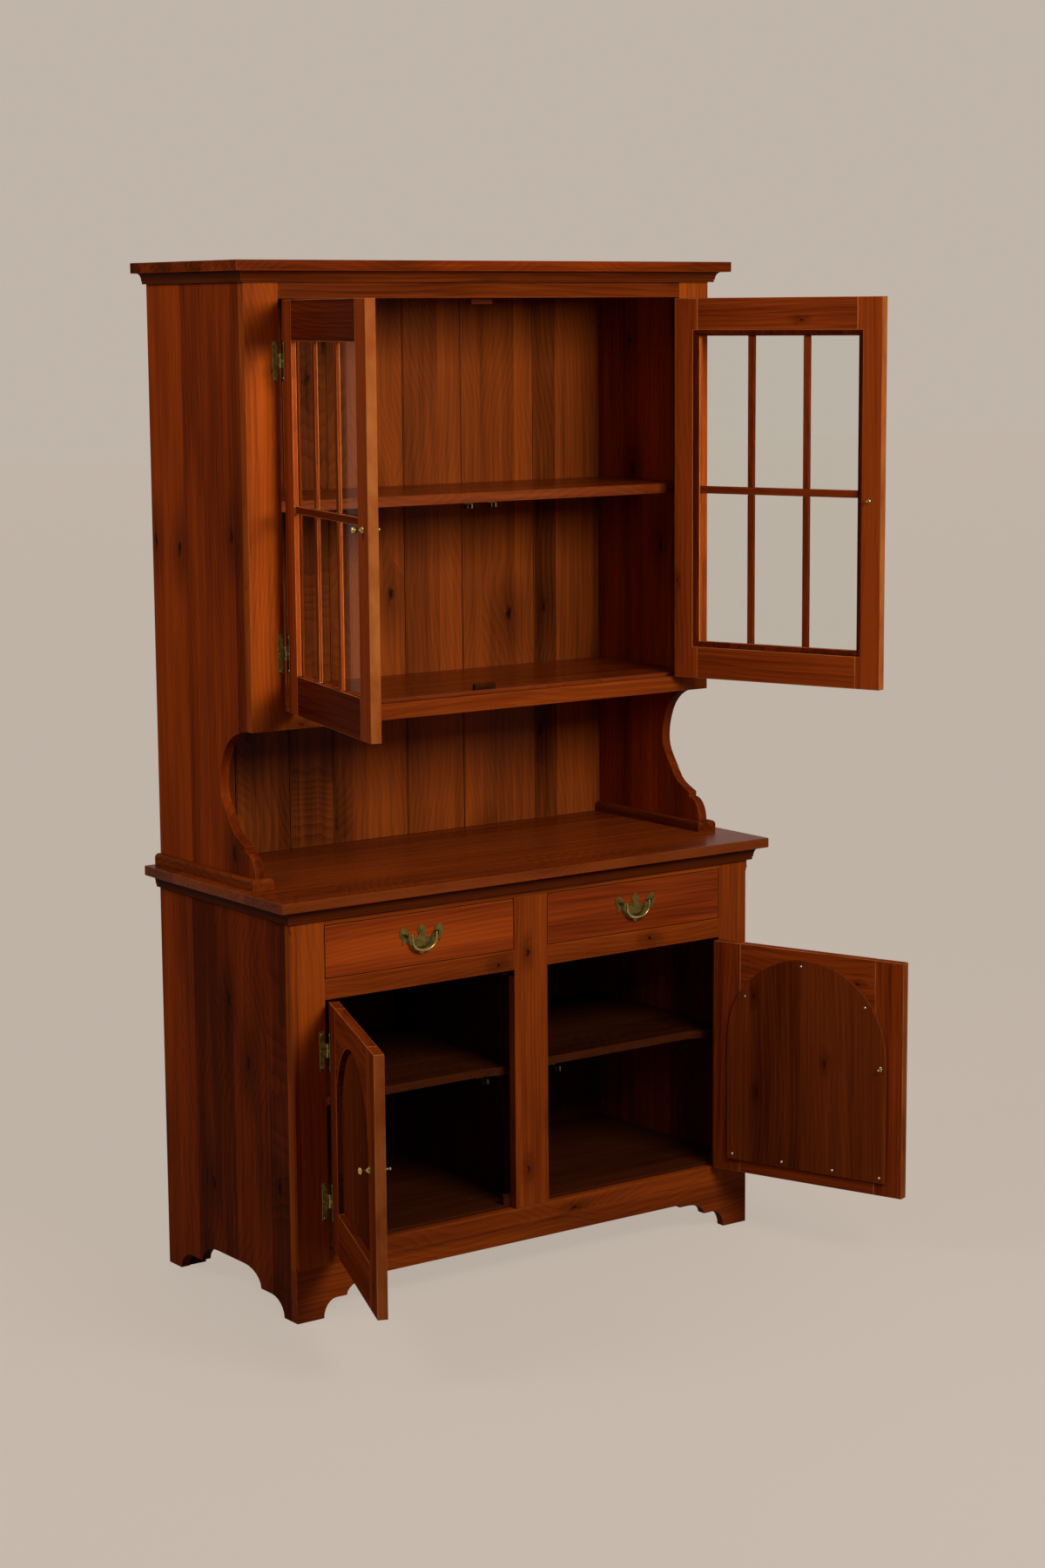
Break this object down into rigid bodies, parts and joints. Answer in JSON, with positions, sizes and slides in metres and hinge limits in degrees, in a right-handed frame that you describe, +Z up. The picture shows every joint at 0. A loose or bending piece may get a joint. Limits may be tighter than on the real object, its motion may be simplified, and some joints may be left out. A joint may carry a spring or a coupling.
{
  "type": "step back cupboard",
  "caption": "Step back cupboard with a glazed upper case over a deeper base with a worktop, drawers with bail pulls and arched panel doors, all on scroll-cut feet.",
  "frame": {"origin": "on the floor, at the centre of the lower case in width and depth", "axes": "+Z up, -Y out of the front of the doors and drawers, +X to the right seen from the front"},
  "size_m": [1.2803, 0.9059, 1.981],
  "materials": {
    "side_wood": "satin lacquer over a reddish brown stain",
    "frame_wood": "satin lacquer over a reddish brown stain",
    "back_wood": "satin lacquer over a brown stain",
    "top_wood": "satin lacquer, more worn",
    "inner_wood": "thin dull finish",
    "brass": "antique brass",
    "glass": "clear flat glass"
  },
  "bodies": {
    "carcass": {"adjustable_shelf": "frame_wood", "back_boards": "back_wood", "bottom_board": "back_wood", "crown_moulding": "frame_wood", "dust_board": "inner_wood", "fixed_shelf": "frame_wood", "front_skirt": "frame_wood", "left_foot_moulding": "frame_wood", "lower_back": "inner_wood", "lower_face_frame": "frame_wood", "lower_left_lower_hinge_case_leaf": "brass", "lower_left_shelf": "inner_wood", "lower_left_side": "side_wood", "lower_left_upper_hinge_case_leaf": "brass", "lower_right_lower_hinge_case_leaf": "brass", "lower_right_shelf": "inner_wood", "lower_right_side": "side_wood", "lower_right_upper_hinge_case_leaf": "brass", "partition": "inner_wood", "rear_left_foot_block": "inner_wood", "rear_right_foot_block": "inner_wood", "right_foot_moulding": "frame_wood", "top_board": "side_wood", "upper_face_frame": "frame_wood", "upper_left_lower_hinge_case_leaf": "brass", "upper_left_side": "side_wood", "upper_left_upper_hinge_case_leaf": "brass", "upper_right_lower_hinge_case_leaf": "brass", "upper_right_side": "side_wood", "upper_right_upper_hinge_case_leaf": "brass", "worktop": "top_wood", "worktop_moulding": "frame_wood"},
    "upper_left_door": {"upper_left_door_frame": "frame_wood", "upper_left_door_glass": "glass", "upper_left_door_knob": "brass", "upper_left_lower_hinge_door_leaf": "brass", "upper_left_upper_hinge_door_leaf": "brass"},
    "upper_right_door": {"upper_right_door_frame": "frame_wood", "upper_right_door_glass": "glass", "upper_right_door_knob": "brass", "upper_right_lower_hinge_door_leaf": "brass", "upper_right_upper_hinge_door_leaf": "brass"},
    "lower_left_door": {"lower_left_door_frame": "frame_wood", "lower_left_door_knob": "brass", "lower_left_door_panel": "frame_wood", "lower_left_lower_hinge_door_leaf": "brass", "lower_left_upper_hinge_door_leaf": "brass"},
    "lower_right_door": {"lower_right_door_frame": "frame_wood", "lower_right_door_knob": "brass", "lower_right_door_panel": "frame_wood", "lower_right_lower_hinge_door_leaf": "brass", "lower_right_upper_hinge_door_leaf": "brass"},
    "left_drawer": {"left_drawer_front": "frame_wood", "left_drawer_box": "inner_wood", "left_pull_plate": "brass"},
    "left_bail": {"left_pull_bail": "brass"},
    "right_drawer": {"right_drawer_front": "frame_wood", "right_drawer_box": "inner_wood", "right_pull_plate": "brass"},
    "right_bail": {"right_pull_bail": "brass"}
  },
  "joints": [
    {"name": "upper_left_door_swing", "type": "hinge", "parent": "carcass", "child": "upper_left_door", "pos_m": [-0.472, -0.1212, 1.527], "axis": [0, 0, -1], "range_deg": [-104, 61]},
    {"name": "upper_right_door_swing", "type": "hinge", "parent": "carcass", "child": "upper_right_door", "pos_m": [0.472, -0.1212, 1.527], "axis": [0, 0, 1], "range_deg": [-110, 55]},
    {"name": "lower_left_door_swing", "type": "hinge", "parent": "carcass", "child": "lower_left_door", "pos_m": [-0.475, -0.2472, 0.374], "axis": [0, 0, -1], "range_deg": [-112, 53]},
    {"name": "lower_right_door_swing", "type": "hinge", "parent": "carcass", "child": "lower_right_door", "pos_m": [0.475, -0.2472, 0.374], "axis": [0, 0, 1], "range_deg": [-110, 55]},
    {"name": "left_drawer_slide", "type": "slide", "parent": "carcass", "child": "left_drawer", "axis": [0, -1, 0], "range_m": [0, 0.36]},
    {"name": "left_bail_swing", "type": "hinge", "parent": "left_drawer", "child": "left_bail", "pos_m": [-0.258, -0.255, 0.7155], "axis": [-1, 0, 0], "range_deg": [0, 95]},
    {"name": "right_drawer_slide", "type": "slide", "parent": "carcass", "child": "right_drawer", "axis": [0, -1, 0], "range_m": [0, 0.36]},
    {"name": "right_bail_swing", "type": "hinge", "parent": "right_drawer", "child": "right_bail", "pos_m": [0.258, -0.255, 0.7155], "axis": [-1, 0, 0], "range_deg": [0, 95]}
  ]
}
